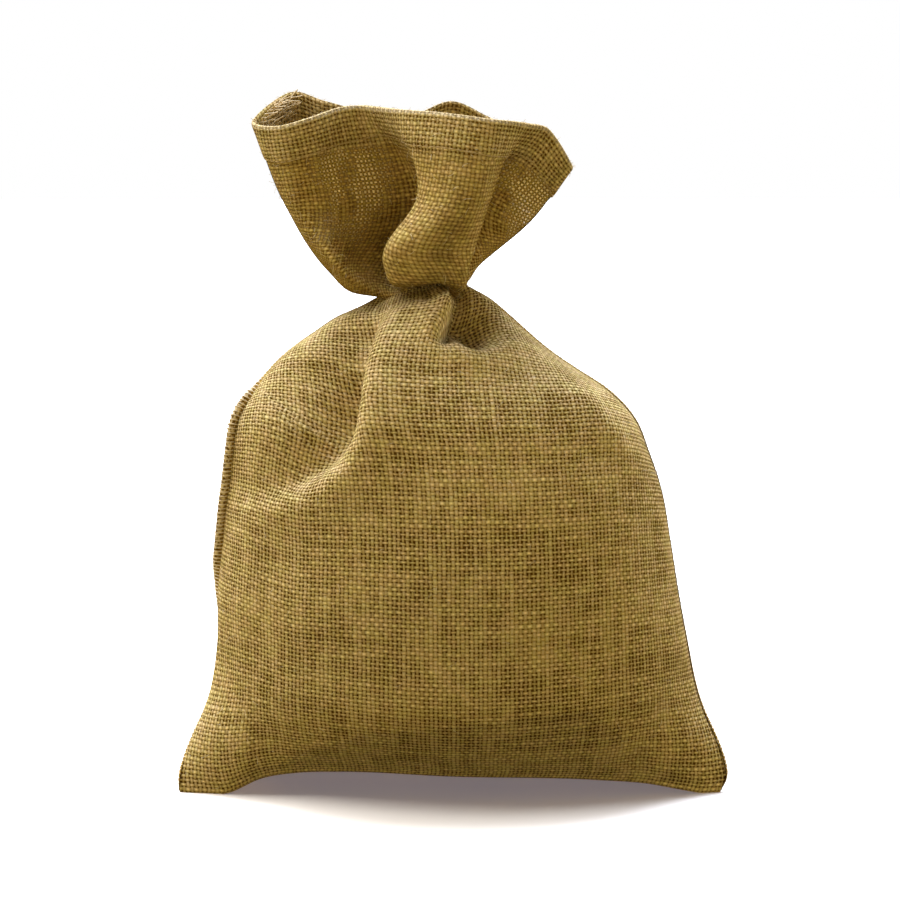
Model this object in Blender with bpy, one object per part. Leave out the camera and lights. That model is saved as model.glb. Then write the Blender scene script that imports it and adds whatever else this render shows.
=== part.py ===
"""A small sack of plain-woven hessian, filled, gathered at the neck and standing up.

The cloth is one length, folded across the bottom and sewn up both sides. Below the neck it
is full, so it is a solid there. Above the neck it is a single thickness of cloth that opens
into a ruff, whose rim is turned over in a hem.

Sizes are in metres, +Z is up, and the side with the large pleat faces -Y. The sack stands on
its two bottom corners and on the back of its base.
"""

import bpy
import numpy as np

MM = 0.001

# The sack as it stands.
CLOTH_THICK = 2.0 * MM  # one layer, with the slack of the weave
HEM_THICK = 3.0 * MM  # the turned-over rim
HEM_DEPTH = 18.0 * MM
SEAM_PROUD = 2.4 * MM  # how far a side seam stands out
SEAM_TURN = 1.8  # degrees on each side of a seam that its ridge takes
SEAM_STARTS = 4.0 * MM  # a seam's ridge comes up over this height above the ground
SEAM_GROWS = 10.0 * MM
SEAM_SINKS = 14.0 * MM  # and it is lost in the gathers this close to the neck
STATIONS_PER_SIDE = 38  # columns of faces on the front, and on the back
CLOSER_LEFT = 7.0  # degrees by which they crowd towards the long fold on the left

# Rings round the filled part, from the ground to the neck, in millimetres. "side" is how far
# back the two seams lie, and "pinch" is 1 where the ring is an oval and more where its ends
# come to thin corners.
BODY_COLUMNS = ("height", "left", "right", "front", "back", "side", "pinch")
BODY_RINGS = (
    (2, -135.8, 135.0, -30, 68, -16, 2.20),
    (8, -136.6, 136.6, -39, 72, -15, 1.95),
    (17, -132.4, 133.0, -49, 74, -13, 1.75),
    (28, -128.1, 128.0, -57, 75, -11, 1.55),
    (40, -123.0, 123.4, -64, 75, -9, 1.38),
    (54, -118.8, 119.6, -69, 75, -7, 1.22),
    (76, -116.0, 115.0, -72, 74, -5, 1.08),
    (100, -116.1, 110.2, -74, 73, -4, 1.00),
    (125, -115.7, 106.1, -74, 72, -4, 1.00),
    (150, -115.0, 101.7, -72, 70, -4, 1.00),
    (170, -111.4, 95.2, -69, 66, -4, 1.00),
    (186, -106.2, 87.2, -66, 62, -4, 1.00),
    (200, -99.6, 74.1, -61, 57, -4, 1.00),
    (212, -91.0, 58.5, -55, 51, -3, 1.00),
    (224, -79.0, 38.5, -48, 45, -2, 1.00),
    (234, -67.5, 23.5, -40, 38, -1, 1.00),
    (241, -58.0, 14.5, -34, 32, 0, 1.00),
    (246, -46.0, 8.0, -28, 27, 0, 1.00),
    (250, -38.0, 3.0, -18, 19, 0, 1.00),
)
EDGE_ROUND = 1.2  # the two layers sewn together keep the thinnest corner this round
NECK_TILT = 0.14  # the gathered neck rises to the right by this much of its width
TILTED_FROM = 215.0  # height at which the rings start to tilt, in millimetres

# The fold across the bottom arches clear of the ground between the two corners.
ARCH_COLUMNS = ("across", "rise")
ARCH = (
    (-137, 0),
    (-113, 0.5),
    (-96, 8.5),
    (-78, 12),
    (-57, 13),
    (0, 11),
    (70, 8.5),
    (98, 5.5),
    (114, 2),
    (124, 0),
    (137, 0),
)
ARCH_ENDS = (2.0, 38.0)  # how far back the arch starts to close, and where it is shut
ARCH_FADES_BY = 62.0  # height at which the rings above the arch are level again

# Under the sack the cloth closes on this line, and lies flat wherever the arch has no rise.
BASE_LINE = ((-136, -16), (-100, -6), (0, 18), (100, -6), (136, -16))
BASE_SHARES = (0.0, 0.3, 0.6, 0.85, 0.96)  # how far out from that line its rings lie
BASE_DRAWN_IN = 0.015  # share of its length that the line is shorter than the sack's bottom

# The ruff: where the cloth lies at the rim, halfway up and just above the neck, in
# millimetres. "turn" is the place round the sack: -90 is the left seam, 0 the front.
RUFF_COLUMNS = ("turn", "rim_x", "rim_y", "rim_z", "mid_x", "mid_y", "low_x", "low_y")
RUFF = (
    (-90, -99, -2, 333, -83, 0, -62, 0),
    (-74, -87, -15, 330, -77, -13, -57, -12),
    (-56, -71, -15, 334, -66, -11, -52, -17),
    (-38, -56, -8, 340, -49, -1, -45, -14),
    (-22, -45, -7, 341, -18, 5, -31, -7),
    (-12, -37, -12, 340, -14, -10, -34, -18),
    (-2, -26, -22, 338, -18, -27, -34, -29),
    (12, -5, -35, 336, -3, -42, -19, -38),
    (26, 17, -37, 333, 12, -39, -2, -34),
    (38, 31, -28, 332, 17, -23, 7, -25),
    (50, 31, -13, 331, 9, -9, 4, -13),
    (64, 43, -12, 330, 22, -9, 8, -7),
    (90, 58, -2, 311, 34, 2, 10, 4),
    (112, 52, 15, 321, 33, 17, 9, 14),
    (132, 34, 26, 333, 18, 24, -1, 21),
    (152, 16, 33, 340, 3, 28, -12, 25),
    (172, -1, 27, 344, -11, 26, -23, 25),
    (198, -27, 12, 335, -32, 20, -38, 22),
    (224, -63, 18, 343, -56, 23, -52, 20),
    (244, -81, 24, 348, -75, 20, -61, 13),
    (258, -91, 10, 342, -81, 10, -61, 6),
)
LOW_RISE = 0.14  # share of the way up from the neck to the rim, of the "low" places
MID_RISE = 0.52
LOW_LEVEL = 0.20  # the same places, counted along the cloth
MID_LEVEL = 0.56
CUP_LEVEL = 0.22  # the ruff is open down to here; below it the gathered cloth fills the neck
RUFF_ROWS = 12  # rings of faces from the neck to the rim


def smooth(x):
    """0 up to 0, 1 from 1, and a soft step between."""
    x = np.clip(x, 0.0, 1.0)
    return x * x * (3.0 - 2.0 * x)


def column(rows, names, name):
    return np.array([row[names.index(name)] for row in rows], float)


def curve_through(knots, values, at):
    """A smooth curve through the values, which never swings past two neighbours much."""
    knots = np.asarray(knots, float)
    values = np.asarray(values, float)
    slope = np.gradient(values, knots, axis=0)
    at = np.clip(at, knots[0], knots[-1])
    i = np.clip(np.searchsorted(knots, at, side="right") - 1, 0, len(knots) - 2)
    width = knots[i + 1] - knots[i]
    s = (at - knots[i]) / width
    start = (1 + 2 * s) * (1 - s) ** 2 * values[i] + s * (1 - s) ** 2 * width * slope[i]
    end = s * s * (3 - 2 * s) * values[i + 1] - s * s * (1 - s) * width * slope[i + 1]
    return start + end


def loop_through(turns, values, at):
    """The same, for values that go round the sack once."""
    turns = np.concatenate([turns[-3:] - 360.0, turns, turns[:3] + 360.0])
    values = np.concatenate([values[-3:], values, values[:3]])
    return curve_through(turns, values, (np.asarray(at) + 105.0) % 360.0 - 105.0)


def column_through(rows, names, name, at):
    return curve_through(np.arange(len(rows)), column(rows, names, name), at)


def station_turns():
    """The places round the sack at which its surface is cut into columns, in degrees."""
    even = np.linspace(-90.0, 90.0, STATIONS_PER_SIDE + 1)[1:-1]
    even -= CLOSER_LEFT * (1 + np.cos(np.radians(2 * even)))
    front = np.concatenate([[-90.0, -90.0 + SEAM_TURN], even, [90.0 - SEAM_TURN, 90.0]])
    return np.concatenate([front, 180.0 - front[-2:0:-1]])


# Soft ridges and troughs of the filled part. Each runs through places (across, height) given
# in millimetres as they are seen square on. "push" is how far it brings the cloth out, and
# the widths are those of its flanks towards -X and +X.
FOLDS_START = 0.12  # cloth that faces the side less than this has none of its folds
FOLDS_SPREAD = 1.9
FOLD_COLUMNS = ("path", "minus_width", "plus_width", "push")
FRONT_FOLDS = (
    # the long ridge from the neck down the left of the front, and the trough beside it
    (((-29, 242), (-38, 212), (-43, 187), (-58, 166), (-78, 154)), 7, 20, 5.0),
    (((-42, 240), (-49, 212), (-55, 188), (-70, 170), (-92, 160)), 25, 9, -17.5),
    # the lobe of cloth turned under at the neck, and the hollow to its right
    (((-24, 248), (-10, 243), (-6, 237)), 9, 6, 4.0),
    (((2, 243), (10, 238), (24, 233)), 10, 11, -10.5),
    # the lip below that hollow
    (((-8, 229), (12, 222), (38, 224)), 9, 9, 2.5),
    # the edge at which the front turns to the right side
    (((36, 226), (56, 205), (84, 172)), 9, 12, 2.0),
    # slack near the left corner
    (((-118, 66), (-106, 44), (-92, 30)), 10, 12, -2.0),
)
BACK_FOLDS = (
    # gathers that run down from the neck
    (((-36, 240), (-58, 214), (-84, 190)), 13, 9, -8.0),
    (((-20, 243), (-24, 212), (-36, 168)), 9, 9, 3.5),
    (((-10, 244), (-8, 214), (-12, 184)), 8, 9, -7.0),
    (((2, 244), (18, 212), (30, 170)), 9, 10, 3.0),
    (((8, 240), (36, 214), (60, 186)), 9, 14, -7.5),
    # slack above the ground
    (((-70, 44), (-20, 34), (50, 40)), 9, 9, -2.0),
)


def fold_push(folds, across, height):
    """How far the folds bring these places out, in millimetres."""
    total = np.zeros_like(across)
    for path, minus_width, plus_width, push in folds:
        nearest = np.full_like(across, 1e9)
        side = np.zeros_like(across)
        for start, end in zip(path, path[1:]):
            run = np.subtract(end, start).astype(float)
            dx = across - start[0]
            dz = height - start[1]
            share = np.clip((dx * run[0] + dz * run[1]) / (run @ run), 0, 1)
            distance = np.hypot(dx - share * run[0], dz - share * run[1])
            closer = distance < nearest
            nearest = np.where(closer, distance, nearest)
            side = np.where(closer, run[0] * dz - run[1] * dx, side)
        width = np.where(side < 0, minus_width, plus_width)
        total += push * np.exp(-((nearest / width) ** 2))
    return total


def arch_rise(across, back):
    shut = 1 - smooth((back - ARCH_ENDS[0]) / (ARCH_ENDS[1] - ARCH_ENDS[0]))
    places = column(ARCH, ARCH_COLUMNS, "across")
    rises = column(ARCH, ARCH_COLUMNS, "rise")
    return np.maximum(curve_through(places, rises, across), 0) * shut


def body_ring(level, turns):
    """The points of the ring at this place in the table, 0 being the lowest, in metres."""
    ring = {name: column_through(BODY_RINGS, BODY_COLUMNS, name, level) for name in BODY_COLUMNS}
    turn = np.radians(turns)
    middle = (ring["left"] + ring["right"]) / 2
    half = (ring["right"] - ring["left"]) / 2
    x = middle + half * np.sin(turn)
    facing = np.cos(turn)
    depth = np.where(facing > 0, ring["side"] - ring["front"], ring["back"] - ring["side"])
    bulge = depth * np.abs(facing) ** ring["pinch"] + EDGE_ROUND * np.sqrt(np.abs(facing))
    y = ring["side"] - np.sign(facing) * bulge
    neck_height = BODY_RINGS[-1][0]
    tilt = NECK_TILT * smooth((ring["height"] - TILTED_FROM) / (neck_height - TILTED_FROM))
    z = ring["height"] + tilt * (x - middle)
    z += arch_rise(x, y) * (1 - smooth(ring["height"] / ARCH_FADES_BY))
    return np.stack([x, y, z], axis=1) * MM


def underside_ring(share, turns, edge):
    """A ring of the base, drawn in from its edge towards the line where front and back meet."""
    x, y, z = edge.T / MM
    line = curve_through(*np.transpose(BASE_LINE), x)
    y = line + (y - line) * share
    x = x * (1 - BASE_DRAWN_IN * (1 - share))
    return np.stack([x, y, arch_rise(x, y)], axis=1) * MM


def ruff_ring(level, turns, neck):
    """The outside of the ruff, from the neck (0) to the rim (1)."""
    places = column(RUFF, RUFF_COLUMNS, "turn")
    lie = {
        name: loop_through(places, column(RUFF, RUFF_COLUMNS, name), turns) * MM
        for name in RUFF_COLUMNS[1:]
    }
    climb = lie["rim_z"] - neck[:, 2]
    low = np.stack([lie["low_x"], lie["low_y"], neck[:, 2] + LOW_RISE * climb], axis=1)
    mid = np.stack([lie["mid_x"], lie["mid_y"], neck[:, 2] + MID_RISE * climb], axis=1)
    rim = np.stack([lie["rim_x"], lie["rim_y"], lie["rim_z"]], axis=1)
    return curve_through((0, LOW_LEVEL, MID_LEVEL, 1), (neck, low, mid, rim), level)


def outward(grid):
    """The outward normal at each point of rings that run anticlockwise seen from above, lowest first."""
    round_it = np.roll(grid, -1, axis=1) - np.roll(grid, 1, axis=1)
    up_it = np.gradient(grid, axis=0)
    normal = np.cross(round_it, up_it)
    return normal / np.linalg.norm(normal, axis=2, keepdims=True)


def with_folds(body):
    """The filled part with its ridges and troughs, each on the side that it belongs to."""
    normal = outward(body)
    across, height = body[:, :, 0] / MM, body[:, :, 2] / MM
    on_front = smooth((-normal[:, :, 1] - FOLDS_START) * FOLDS_SPREAD)
    on_back = smooth((normal[:, :, 1] - FOLDS_START) * FOLDS_SPREAD)
    push = on_front * fold_push(FRONT_FOLDS, across, height)
    push += on_back * fold_push(BACK_FOLDS, across, height)
    return body + normal * push[:, :, None] * MM


def seam_stations(turns):
    return np.flatnonzero(np.isin(np.round(turns % 360, 3), (90.0, 270.0)))


def ruff_inside(ruff, turns):
    """The inner face of the ruff, one thickness of cloth in from its outside."""
    below_rim = ruff[-1, :, 2] - ruff[:, :, 2]
    hem = smooth((HEM_DEPTH - below_rim) / HEM_THICK)
    thick = CLOTH_THICK + (HEM_THICK - CLOTH_THICK) * hem
    inside = ruff - outward(ruff) * thick[:, :, None]
    for station in seam_stations(turns):
        for foot, beyond in ((station - 1, station - 2), (station + 1, station + 2)):
            inside[:, foot] = (inside[:, station] + inside[:, beyond]) / 2
    return inside


def with_seams(outside, neck, turns):
    """The outside with the ridge of each side seam raised on it."""
    at_seam = np.zeros(len(turns))
    at_seam[seam_stations(turns)] = SEAM_PROUD
    height = outside[:, :, 2]
    clear_of_ground = smooth((height - SEAM_STARTS) / SEAM_GROWS)
    clear_of_neck = smooth(np.abs(height - neck[:, 2]) / SEAM_SINKS)
    proud = at_seam * clear_of_ground * clear_of_neck
    return outside + outward(outside) * proud[:, :, None]


def sack_rings():
    """Every ring, from the middle of the base, up the outside, over the rim and down inside."""
    turns = station_turns()
    levels = np.linspace(0, len(BODY_RINGS) - 1, 2 * len(BODY_RINGS) - 1)
    body = with_folds(np.array([body_ring(level, turns) for level in levels]))
    base = [underside_ring(share, turns, body_ring(0, turns)) for share in BASE_SHARES]
    neck = body[-1]
    climb = np.linspace(0, 1, RUFF_ROWS + 1)[1:]
    ruff = np.array([ruff_ring(level, turns, neck) for level in climb])
    inside = ruff_inside(ruff, turns)[climb >= CUP_LEVEL][::-1]
    outside = with_seams(np.concatenate([body, ruff]), neck, turns)
    return [*base, *outside, *inside]


def sack_mesh():
    """One closed skin: the first ring is zipped shut along the base, the last closed to a point."""
    rings = sack_rings()
    count = len(rings[0])
    points = list(rings[0][: count // 2 + 1])
    rows = [[min(station, (count - station) % count) for station in range(count)]]
    for ring in rings[1:]:
        rows.append(range(len(points), len(points) + count))
        points += list(ring)
    faces = []
    for station in range(count):
        after = (station + 1) % count
        for lower, upper in zip(rows, rows[1:]):
            corners = (lower[station], lower[after], upper[after], upper[station])
            faces.append(tuple(dict.fromkeys(corners)))
        faces.append((rows[-1][station], rows[-1][after], len(points)))
    points = np.array([*points, rings[-1].mean(axis=0)])
    middle = (points.min(axis=0) + points.max(axis=0)) / 2
    return points - (middle[0], middle[1], 0), faces


def hessian():
    material = bpy.data.materials.new("hessian")
    material.use_nodes = True
    shader = material.node_tree.nodes["Principled BSDF"]
    shader.inputs["Base Color"].default_value = (0.36, 0.24, 0.095, 1)
    shader.inputs["Roughness"].default_value = 0.92
    return material


for thing in list(bpy.data.objects):
    bpy.data.objects.remove(thing, do_unlink=True)
points, faces = sack_mesh()
mesh = bpy.data.meshes.new("sack")
mesh.from_pydata(points.tolist(), [], faces)
mesh.materials.append(hessian())
mesh.update()
sack = bpy.data.objects.new("sack", mesh)
bpy.context.scene.collection.objects.link(sack)
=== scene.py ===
"""A small hessian sack, filled, gathered at the neck and standing up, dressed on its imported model.

It is one length of cloth folded across the bottom and sewn up both sides. Below the neck it
is full; above the neck it is a single thickness that opens into a ruff with a hemmed rim.
Sizes are in metres unless a name says millimetres or threads. The pleat of the ruff faces -Y.
"""

import bpy
import numpy as np
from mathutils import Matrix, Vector


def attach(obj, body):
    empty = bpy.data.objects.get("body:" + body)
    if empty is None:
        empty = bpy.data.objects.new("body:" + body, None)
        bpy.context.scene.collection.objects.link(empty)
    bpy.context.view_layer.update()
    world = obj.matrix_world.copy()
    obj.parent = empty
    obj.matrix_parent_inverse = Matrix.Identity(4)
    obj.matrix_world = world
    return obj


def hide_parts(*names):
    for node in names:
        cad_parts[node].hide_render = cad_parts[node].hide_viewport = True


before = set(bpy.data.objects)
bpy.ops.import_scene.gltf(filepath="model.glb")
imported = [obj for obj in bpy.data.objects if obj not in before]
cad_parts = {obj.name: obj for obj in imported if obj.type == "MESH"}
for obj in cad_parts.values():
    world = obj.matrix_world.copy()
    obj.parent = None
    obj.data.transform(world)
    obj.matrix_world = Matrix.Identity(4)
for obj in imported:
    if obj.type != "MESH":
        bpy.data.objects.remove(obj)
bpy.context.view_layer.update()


# The studio: a pale table that glows a little, in a warm room that is brightest just below the
# table's height, with broad soft lamps behind and high to the left and the right. The camera
# stands square on to the pleat, a little above the middle of the sack.
LOOKS_AT = Vector((-0.002, 0.0, 0.1705))
CAMERA_AWAY = 1.25
CAMERA_ABOVE = np.radians(6.0)
LENS_MM = 100.0
PALE = (0.97, 0.85, 0.57, 1)
TABLE_GLOW = (0.120, 0.115, 0.147, 1)
FLOOR_REACHES = 60.0
ROOM_LIGHT = 2.5
ROOM_COLOUR = (1.0, 0.89, 0.56, 1)
# how bright the room is from the side at each rise: (rise, share)
ROOM_STOPS = ((-1, 0), (-0.6, 0), (-0.35, 1), (-0.12, 1), (0.1, 0.08), (1, 0.08))
LAMP_SPREAD = np.radians(50)
LAMPS = (
    # name, the side it shines from, power, colour
    ("left_lamp", (-1.0, 0.0, 1.4), 3.6, (0.92, 1.0, 1.36)),
    ("back_lamp", (-0.1, 0.5, 1.0), 9.6, (0.84, 1.0, 1.66)),
    ("right_lamp", (1.0, 0.8, 0.9), 2.0, (0.84, 1.0, 1.66)),
)

camera = bpy.data.objects.new("camera", bpy.data.cameras.new("camera"))
camera.data.lens = LENS_MM
camera.location = LOOKS_AT + CAMERA_AWAY * Vector((0, -np.cos(CAMERA_ABOVE), np.sin(CAMERA_ABOVE)))
camera.rotation_euler = (LOOKS_AT - camera.location).to_track_quat("-Z", "Y").to_euler()
bpy.context.scene.collection.objects.link(camera)
bpy.context.scene.camera = camera

for name, side, power, colour in LAMPS:
    lamp = bpy.data.objects.new(name, bpy.data.lights.new(name, "SUN"))
    lamp.data.angle = LAMP_SPREAD
    lamp.data.energy = power
    lamp.data.color = colour
    lamp.location = side
    lamp.rotation_euler = Vector(side).to_track_quat("Z", "Y").to_euler()
    bpy.context.scene.collection.objects.link(lamp)

world = bpy.data.worlds.new("pale_room")
world.use_nodes = True
room = world.node_tree
seen = room.nodes.new("ShaderNodeLightPath")
way = room.nodes.new("ShaderNodeSeparateXYZ")
room.links.new(room.nodes.new("ShaderNodeTexCoord").outputs["Generated"], way.inputs[0])
rise = room.nodes.new("ShaderNodeMapRange")
rise.inputs["From Min"].default_value = -1.0
room.links.new(way.outputs["Z"], rise.inputs["Value"])
share = room.nodes.new("ShaderNodeValToRGB")
for place, amount in ROOM_STOPS[1:-1]:
    share.color_ramp.elements.new((place + 1) / 2)
for stop, (place, amount) in zip(share.color_ramp.elements, ROOM_STOPS):
    stop.position = (place + 1) / 2
    stop.color = (amount, amount, amount, 1)
room.links.new(rise.outputs[0], share.inputs[0])
glow = room.nodes.new("ShaderNodeMath")
glow.operation = "MULTIPLY"
glow.inputs[1].default_value = ROOM_LIGHT
room.links.new(share.outputs[0], glow.inputs[0])
brightness = room.nodes.new("ShaderNodeMapRange")
room.links.new(glow.outputs[0], brightness.inputs["To Min"])
brightness.inputs["To Max"].default_value = 1.0
room.links.new(seen.outputs["Is Camera Ray"], brightness.inputs["Value"])
room.links.new(brightness.outputs[0], room.nodes["Background"].inputs["Strength"])
colour = room.nodes.new("ShaderNodeMix")
colour.data_type = "RGBA"
colour.inputs["A"].default_value = ROOM_COLOUR
colour.inputs["B"].default_value = (1, 1, 1, 1)
room.links.new(seen.outputs["Is Camera Ray"], colour.inputs["Factor"])
room.links.new(colour.outputs["Result"], room.nodes["Background"].inputs["Color"])
bpy.context.scene.world = world
bpy.context.scene.view_settings.view_transform = "Standard"

floor_mesh = bpy.data.meshes.new("floor")
floor_mesh.from_pydata(
    [(x * FLOOR_REACHES, y * FLOOR_REACHES, 0) for x, y in ((-1, -1), (1, -1), (1, 1), (-1, 1))],
    [],
    [(0, 1, 2, 3)],
)
floor_paint = bpy.data.materials.new("floor_paint")
floor_paint.use_nodes = True
table = floor_paint.node_tree.nodes["Principled BSDF"].inputs
table["Base Color"].default_value = PALE
table["Roughness"].default_value = 0.9
table["Emission Color"].default_value = TABLE_GLOW
table["Emission Strength"].default_value = 1.0
floor_mesh.materials.append(floor_paint)
studio_floor = bpy.data.objects.new("floor", floor_mesh)
studio_floor.visible_diffuse = False
bpy.context.scene.collection.objects.link(studio_floor)


# The cloth of the front: plain-woven hessian, drawn tight over the filling from the sharp fold
# at the bottom up to the neck, where it is gathered. It is one rectangle of cloth, so its
# threads keep their pitch and lean where the gathers pull them.
MM = 0.001
THREAD_PITCH = 2.12 * MM
SIDE_COLUMNS = 240  # faces across the front, and across the back
ROW_STEP = 1.8 * MM
LAID_FLAT_EVERY = 6  # the cloth is laid flat on every sixth row and column

# Rings round the filled part, from the ground to the neck, in millimetres. "side" is how far
# back the two seams lie, and "pinch" is 1 where the ring is an oval and more where its ends
# come to thin corners.
BODY_COLUMNS = ("height", "left", "right", "front", "back", "side", "pinch")
BODY_RINGS = (
    (0.8, -137.4, 133.4, -30, 68, -16, 2.20),
    (8, -136.9, 136.0, -39, 72, -15, 1.95),
    (17, -134.8, 134.6, -49, 74, -13, 1.75),
    (28, -131.0, 130.4, -57, 75, -11, 1.55),
    (40, -126.0, 125.0, -64, 75, -9, 1.38),
    (54, -121.6, 120.6, -69, 75, -7, 1.22),
    (76, -118.7, 116.4, -72, 74, -5, 1.08),
    (100, -118.2, 112.0, -74, 73, -4, 1.00),
    (125, -115.8, 108.0, -74, 72, -4, 1.00),
    (150, -114.3, 103.5, -72, 70, -4, 1.00),
    (170, -113.0, 96.8, -69, 66, -4, 1.00),
    (186, -109.2, 90.0, -66, 62, -4, 1.00),
    (200, -99.9, 77.2, -61, 57, -4, 1.00),
    (212, -90.6, 59.6, -55, 51, -3, 1.00),
    (224, -79.6, 41.0, -48, 45, -2, 1.00),
    (234, -68.4, 27.0, -39, 38, -1, 1.00),
    (241, -59.0, 18.0, -31, 32, 0, 1.00),
    (246, -47.0, 11.2, -21, 27, 0, 1.00),
    (250, -38.0, 5.6, -10, 19, 0, 1.00),
)
EDGE_ROUND = 1.2
NECK_TILT = 0.14
TILTED_FROM = 215.0

# Where the two side seams lie round the sack, in degrees, at each height in millimetres. The
# front is the cloth between them.
SEAM_COLUMNS = ("height", "left", "right")
SEAMS = (
    (2, -90, 90),
    (24, -96, 90),
    (84, -97, 91),
    (104, -91, 91),
    (124, -84, 92),
    (150, -79, 92),
    (190, -79, 92),
    (206, -86, 92),
    (220, -97, 92),
    (238, -94, 90),
    (250, -90, 90),
)
SACK_MIDDLE = np.array([0.0065, 0.3541, 0.0]) * MM  # the solid is centred on this point

# The fold across the bottom arches clear of the ground between the two corners.
ARCH_COLUMNS = ("across", "rise")
ARCH = (
    (-137, 0),
    (-113, 0.5),
    (-96, 8.5),
    (-78, 12),
    (-57, 13),
    (0, 11),
    (70, 8.5),
    (98, 5.5),
    (114, 2),
    (124, 0),
    (137, 0),
)
ARCH_ENDS = (2.0, 38.0)
ARCH_FADES_BY = 62.0
BASE_LINE = ((-136, -16), (-100, -6), (0, 18), (100, -6), (136, -16))
BASE_DRAWN_IN = 0.015

# Soft ridges and troughs of the filled part. Each runs through places (across, height, share
# of its strength), in millimetres. "push" is how far it brings the cloth out and "slide" how
# far it draws it over to its minus side, the widths are those of its flanks, and "edge" is 2
# for a round fold and nearer 1 for a sharp one.
FOLDS_START = 0.12
FOLDS_SPREAD = 1.9
# Each fold is (path, minus width, plus width, push, slide, edge).
LONG_RIDGE = (
    (-30, 246, 0.6),
    (-34, 234, 0.8),
    (-38, 222, 0.9),
    (-39, 212, 1.0),
    (-40, 202, 1.0),
    (-42, 190, 1.0),
    (-45, 181, 0.9),
    (-52, 171, 0.8),
    (-61, 163, 0.6),
    (-74, 156, 0.4),
)
LONG_TROUGH = (
    (-38, 243, 0.5),
    (-42, 232, 0.6),
    (-46, 220, 0.75),
    (-49, 208, 0.95),
    (-51, 197, 1.1),
    (-53, 187, 1.1),
    (-58, 177, 0.9),
    (-67, 168, 0.65),
    (-80, 161, 0.4),
    (-96, 156, 0.2),
)
FRONT_FOLDS = (
    # the long ridge from the neck down the left of the front, and the trough that it overhangs
    (LONG_RIDGE, 6, 22, 5.0, 3.0, 2.0),
    (LONG_TROUGH, 29, 7, -21.0, 0.0, 1.8),
    # the lobe of cloth turned under at the neck
    (
        ((-17, 252, 0.5), (-9, 250, 1), (-5, 246, 1), (-5, 240, 0.9), (-7, 234, 0.4)),
        6, 3.5, 11.5, -3.0, 2.0,
    ),
    # the pit below it and the hollow to its right
    (((1, 251, 0.6), (0, 243, 0.8), (-2, 236, 1), (-5, 231.5, 0.8)), 3.2, 5, -15.0, 0.0, 1.6),
    (((6, 247, 0.8), (9, 240, 1), (11, 234, 0.8)), 8, 11, -17.0, 0.0, 2.0),
    # the lip that runs from the neck round below them
    (
        (
            (-19, 248, 0.5), (-14.5, 241, 0.8), (-11, 234, 1), (-5, 228, 1),
            (4, 223, 1), (14, 222, 0.9), (30, 225, 0.5),
        ),
        9, 4, 3.5, 0.0, 2.0,
    ),
    # the edge at which the front turns to the right side
    (((30, 234, 0.6), (44, 221, 1), (58, 204, 1), (72, 188, 1), (86, 170, 0.7)), 9, 8, 3.0, 0.0, 1.7),
    # slack near the corners and down the middle
    (((-118, 66, 1), (-106, 44, 1), (-92, 30, 1)), 10, 12, -2.5, 0.0, 2.0),
    (((116, 60, 1), (106, 40, 1), (92, 24, 1)), 10, 12, -2.0, 0.0, 2.0),
    (((-86, 132, 1), (-92, 96, 1), (-96, 60, 0.6)), 10, 14, -1.6, 0.0, 2.0),
    (((96, 150, 0.6), (102, 110, 1), (104, 70, 0.6)), 14, 8, -1.4, 0.0, 2.0),
)
BACK_FOLDS = (
    # gathers that run down from the neck
    (((-36, 240, 1), (-58, 214, 1), (-84, 190, 0.7)), 13, 9, -8.0, 0.0, 1.8),
    (((-20, 243, 1), (-24, 212, 1), (-36, 168, 0.6)), 9, 9, 3.5, 0.0, 2.0),
    (((-10, 244, 1), (-8, 214, 1), (-12, 184, 0.6)), 8, 9, -7.0, 0.0, 1.8),
    (((2, 244, 1), (18, 212, 1), (30, 170, 0.6)), 9, 10, 3.0, 0.0, 2.0),
    (((8, 240, 1), (36, 214, 1), (60, 186, 0.7)), 9, 14, -7.5, 0.0, 1.8),
    # slack above the ground
    (((-70, 44, 1), (-20, 34, 1), (50, 40, 1)), 9, 9, -2.0, 0.0, 2.0),
)


def smooth(x):
    """0 up to 0, 1 from 1, and a soft step between."""
    x = np.clip(x, 0.0, 1.0)
    return x * x * (3.0 - 2.0 * x)


def column(rows, names, name):
    return np.array([row[names.index(name)] for row in rows], float)


def curve_through(knots, values, at):
    """A smooth curve through the values at each place in at, one row of the result for each."""
    knots = np.asarray(knots, float)
    values = np.asarray(values, float)
    at = np.clip(np.asarray(at, float), knots[0], knots[-1])
    slope = np.gradient(values, knots, axis=0)
    i = np.clip(np.searchsorted(knots, at, side="right") - 1, 0, len(knots) - 2)
    fit = at.shape + (1,) * (values.ndim - 1)
    width = (knots[i + 1] - knots[i]).reshape(fit)
    s = (at - knots[i]).reshape(fit) / width
    start = (1 + 2 * s) * (1 - s) ** 2 * values[i] + s * (1 - s) ** 2 * width * slope[i]
    end = s * s * (3 - 2 * s) * values[i + 1] - s * s * (1 - s) * width * slope[i + 1]
    return start + end


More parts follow.
